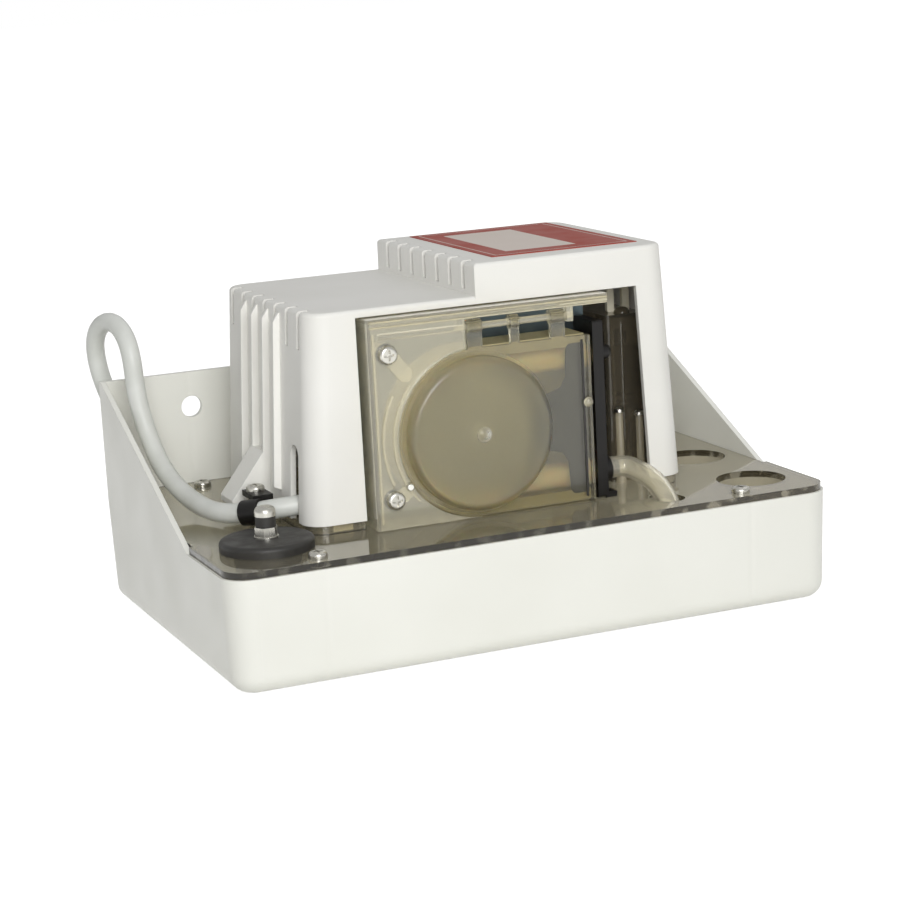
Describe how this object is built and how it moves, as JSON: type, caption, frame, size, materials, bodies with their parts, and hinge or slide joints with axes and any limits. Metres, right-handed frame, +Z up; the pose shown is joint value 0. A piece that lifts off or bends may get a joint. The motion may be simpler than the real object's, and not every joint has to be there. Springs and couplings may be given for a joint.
{
  "type": "condensate pump",
  "caption": "Wall-hung tank condensate pump: white tub, clear deck with round inlets, vented hood and a peristaltic head behind a hinged frosted cover.",
  "frame": {"origin": "middle of the tank's footprint on the standing surface", "axes": "+X along the tank's length towards the inlets, +Y to the wall behind, +Z up"},
  "size_m": [0.282, 0.2945, 0.1608],
  "materials": {
    "tank_white": "semi-gloss moulded",
    "hood_white": "fine satin moulded",
    "smoke_clear": "polished clear, lightly smoked",
    "frosted_clear": "frosted translucent",
    "label_red": "printed foil, bare",
    "screw_steel": "plated",
    "zinc_plate": "zinc plated sheet",
    "black_rubber": "satin",
    "black_plastic": "satin",
    "cord_white": "satin vinyl",
    "tube_rubber": "matt elastomer",
    "hose_clear": "clear vinyl",
    "nylon_natural": "satin nylon",
    "grey_plastic": "satin",
    "shaft_steel": "ground",
    "bronze": "sintered",
    "lamination": "stacked sheet",
    "coil_tape": "tape wrapped",
    "alloy": "die cast"
  },
  "bodies": {
    "base": {"tank": "tank_white", "deck": "smoke_clear", "deck_screws": "screw_steel", "hood": "hood_white", "hood_screws": "screw_steel", "top_label": "label_red", "cord_clamp": "black_plastic", "clamp_screw": "screw_steel", "power_cord": "cord_white", "cord_tail": "cord_white", "cord_coil": "cord_white", "mains_plug": "cord_white", "plug_pins": "bronze", "terminal_block": "nylon_natural", "mounting_plate": "zinc_plate", "head_frame": "frosted_clear", "track_body": "nylon_natural", "hinge_rod": "frosted_clear", "head_screws": "screw_steel", "pump_tube": "tube_rubber", "connector_block": "black_plastic", "suction_fitting": "black_plastic", "discharge_fitting": "black_plastic", "suction_tube": "hose_clear", "strainer": "nylon_natural", "discharge_tube": "hose_clear", "outlet_barb": "black_plastic", "gearbox_case": "alloy", "gearbox_cover": "alloy", "shaft_bushes": "bronze", "middle_axle": "shaft_steel", "stator_stack": "lamination", "motor_coil": "coil_tape", "rear_bracket": "zinc_plate", "motor_screws": "screw_steel", "switch_stand": "black_plastic", "switch_cover": "smoke_clear", "microswitches": "black_plastic"},
    "motor": {"motor_rotor": "alloy", "motor_shaft": "shaft_steel", "cooling_fan": "grey_plastic"},
    "middle_gear": {"middle_gear": "nylon_natural"},
    "pump_rotor": {"rotor_frame": "nylon_natural", "roller_pins": "shaft_steel", "output_shaft": "shaft_steel", "output_gear": "nylon_natural"},
    "roller_a": {"roller_1": "nylon_natural"},
    "roller_b": {"roller_2": "nylon_natural"},
    "roller_c": {"roller_3": "nylon_natural"},
    "cover": {"pump_cover": "frosted_clear", "cover_catch": "frosted_clear"},
    "inlet_plug": {"plug_stopper": "black_rubber", "plug_nut": "screw_steel", "plug_sleeve": "black_rubber", "plug_bolt": "screw_steel"},
    "float": {"float": "grey_plastic", "float_rod": "shaft_steel"},
    "lever": {"float_lever": "nylon_natural"},
    "plungers": {"switch_plungers": "nylon_natural"}
  },
  "joints": [
    {"name": "motor_spin", "type": "hinge", "parent": "base", "child": "motor", "pos_m": [0.02, 0, 0.106], "axis": [0, 1, 0], "continuous": true},
    {"name": "middle_spin", "type": "hinge", "parent": "base", "child": "middle_gear", "pos_m": [0.01491, 0, 0.08255], "axis": [0, 1, 0], "continuous": true},
    {"name": "pump_spin", "type": "hinge", "parent": "base", "child": "pump_rotor", "pos_m": [-0.0143, 0, 0.0894], "axis": [0, 1, 0], "continuous": true},
    {"name": "roller_a_spin", "type": "hinge", "parent": "pump_rotor", "child": "roller_a", "pos_m": [-0.0143, 0, 0.11], "axis": [0, 1, 0], "continuous": true},
    {"name": "roller_b_spin", "type": "hinge", "parent": "pump_rotor", "child": "roller_b", "pos_m": [-0.03214, 0, 0.0791], "axis": [0, 1, 0], "continuous": true},
    {"name": "roller_c_spin", "type": "hinge", "parent": "pump_rotor", "child": "roller_c", "pos_m": [0.00354, 0, 0.0791], "axis": [0, 1, 0], "continuous": true},
    {"name": "cover_hinge", "type": "hinge", "parent": "base", "child": "cover", "pos_m": [0, -0.0554, 0.135], "axis": [-1, 0, 0], "range_deg": [0, 100]},
    {"name": "inlet_plug_lift", "type": "slide", "parent": "base", "child": "inlet_plug", "axis": [0, 0, 1], "range_m": [0, 0.04]},
    {"name": "float_lift", "type": "slide", "parent": "base", "child": "float", "axis": [0, 0, 1], "range_m": [0, 0.01]},
    {"name": "lever_pivot", "type": "hinge", "parent": "base", "child": "lever", "pos_m": [0.0705, -0.022, 0.0882], "axis": [1, 0, 0], "range_deg": [0, 18.9]},
    {"name": "plunger_press", "type": "slide", "parent": "base", "child": "plungers", "axis": [0, 0, 1], "range_m": [0, 0.00165]}
  ],
  "couplings": [
    {"joint": "middle_spin", "follows": "motor_spin", "ratio": -0.2},
    {"joint": "pump_spin", "follows": "motor_spin", "ratio": 0.05},
    {"joint": "roller_a_spin", "follows": "motor_spin", "ratio": -0.20846},
    {"joint": "roller_b_spin", "follows": "motor_spin", "ratio": -0.20846},
    {"joint": "roller_c_spin", "follows": "motor_spin", "ratio": -0.20846},
    {"joint": "lever_pivot", "follows": "float_lift", "rad_per_m": 32.8},
    {"joint": "plunger_press", "follows": "float_lift", "ratio": 0.165}
  ]
}
